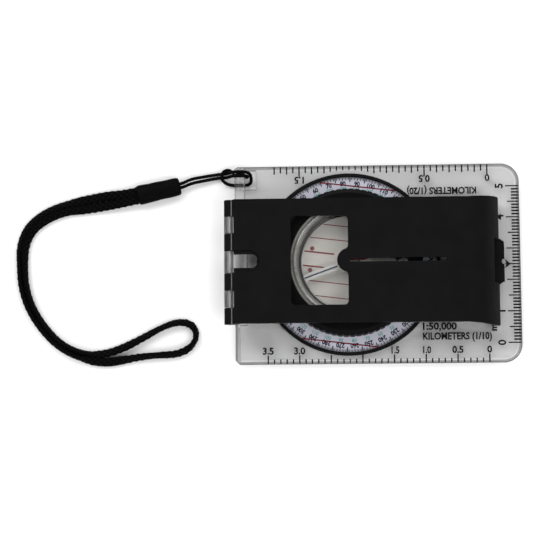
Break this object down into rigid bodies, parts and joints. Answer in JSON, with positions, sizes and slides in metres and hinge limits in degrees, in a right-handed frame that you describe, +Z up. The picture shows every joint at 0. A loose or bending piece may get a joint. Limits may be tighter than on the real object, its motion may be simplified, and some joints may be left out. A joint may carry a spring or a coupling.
{
  "type": "sighting compass",
  "caption": "Clear baseplate compass with a rotating dial, a black mirror lid on a knuckle hinge with window and sighting slot, and a braided wrist lanyard.",
  "frame": {"origin": "on the axis of the dial and needle, at the underside of the baseplate", "axes": "+X along the plate towards the lid's thumb tab, +Y towards the lanyard bar, +Z up out of the plate through the lid"},
  "size_m": [0.1619, 0.0636, 0.015],
  "materials": {
    "clear_acrylic": "polished, clear",
    "steel": "drawn, satin",
    "black_trim": "moulded, satin",
    "black_cord": "twisted nylon",
    "black_braid": "flat braided nylon",
    "black_sleeve": "moulded, satin",
    "crimp_metal": "pressed",
    "dial_plastic": "printed, matt",
    "black_bezel": "moulded, satin",
    "black_lid": "moulded, satin",
    "red_paint": "painted",
    "white_paint": "painted",
    "brass": "turned",
    "bearing_plastic": "moulded",
    "mirror": "silvered glass",
    "foam_tape": "foam pad"
  },
  "bodies": {
    "base": {"baseplate": "clear_acrylic", "hinge_pin": "steel", "dial_retaining_ring": "black_trim", "lanyard_loop": "black_cord", "lanyard_sleeve": "black_sleeve", "sleeve_ferrule": "crimp_metal", "wrist_cord": "black_braid"},
    "dial": {"graduated_ring": "dial_plastic", "bezel_ring": "black_bezel", "capsule_body": "clear_acrylic", "capsule_cover": "clear_acrylic", "capsule_seal_ring": "black_trim", "dial_floor": "dial_plastic", "north_dots": "red_paint", "pivot_boss": "brass", "pivot_pin": "steel"},
    "needle": {"needle_magnet": "steel", "needle_north_blade": "red_paint", "needle_south_blade": "white_paint", "needle_hub": "white_paint", "jewel_bearing": "bearing_plastic"},
    "lid": {"lid_cover": "black_lid", "mirror": "mirror", "mirror_tape": "foam_tape"}
  },
  "joints": [
    {"name": "lid_hinge", "type": "hinge", "parent": "base", "child": "lid", "pos_m": [-0.0373, 0, 0.011], "axis": [0, -1, 0], "range_deg": [0, 180]},
    {"name": "dial_turn", "type": "hinge", "parent": "base", "child": "dial", "pos_m": [0, 0, 0.002], "axis": [0, 0, 1], "continuous": true},
    {"name": "needle_swing", "type": "hinge", "parent": "dial", "child": "needle", "pos_m": [0, 0, 0.0081], "axis": [0, 0, 1], "continuous": true}
  ]
}
